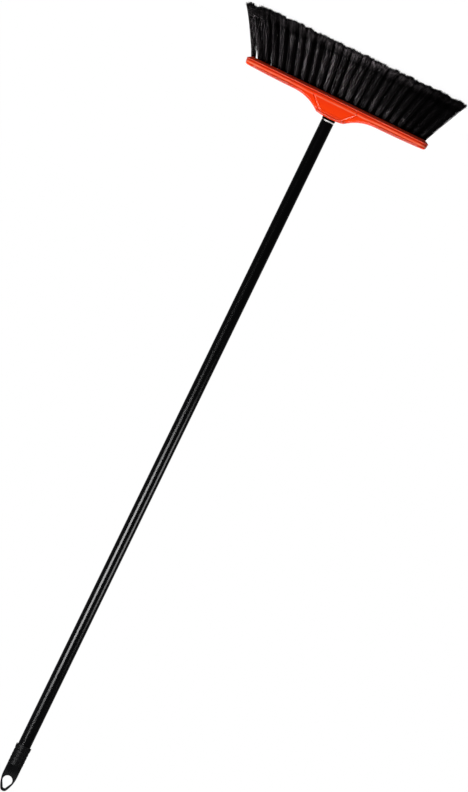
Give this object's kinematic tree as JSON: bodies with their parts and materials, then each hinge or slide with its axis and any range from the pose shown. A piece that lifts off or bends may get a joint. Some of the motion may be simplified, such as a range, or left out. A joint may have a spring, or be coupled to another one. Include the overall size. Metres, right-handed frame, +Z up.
{
  "type": "indoor broom",
  "caption": "Upright indoor broom with flared bristles in a moulded head, a slim tube handle that screws into the hub, and a cap with a hanging loop.",
  "frame": {"origin": "on the floor under the handle's axis, at the plane of the trimmed bristle tips", "axes": "+Z up along the handle, X along the head, the front of the head faces -Y"},
  "size_m": [0.4008, 0.0588, 1.3592],
  "materials": {
    "head_plastic": "glossy moulded orange-red",
    "bristle": "black filament, satin",
    "anchor_wire": "drawn flat wire",
    "handle_plastic": "black moulded, satin",
    "tube_coating": "black coated steel, semi-gloss"
  },
  "bodies": {
    "head": {"head_block": "head_plastic", "tuft_anchors": "anchor_wire", "bristle_row_1": "bristle", "bristle_row_2": "bristle", "bristle_row_3": "bristle", "bristle_row_4": "bristle", "bristle_row_5": "bristle"},
    "screw_tip": {"threaded_tip": "handle_plastic"},
    "handle": {"handle_tube": "tube_coating", "hanger_cap": "handle_plastic"}
  },
  "joints": [
    {"name": "handle_travel", "type": "slide", "parent": "head", "child": "screw_tip", "axis": [0, 0, 1], "range_m": [0, 0.02032]},
    {"name": "handle_turn", "type": "hinge", "parent": "screw_tip", "child": "handle", "pos_m": [0, 0, 0.1272], "axis": [0, 0, 1], "range_deg": [0, 1440]}
  ],
  "couplings": [
    {"joint": "handle_turn", "follows": "handle_travel", "rad_per_m": 1236.8}
  ]
}
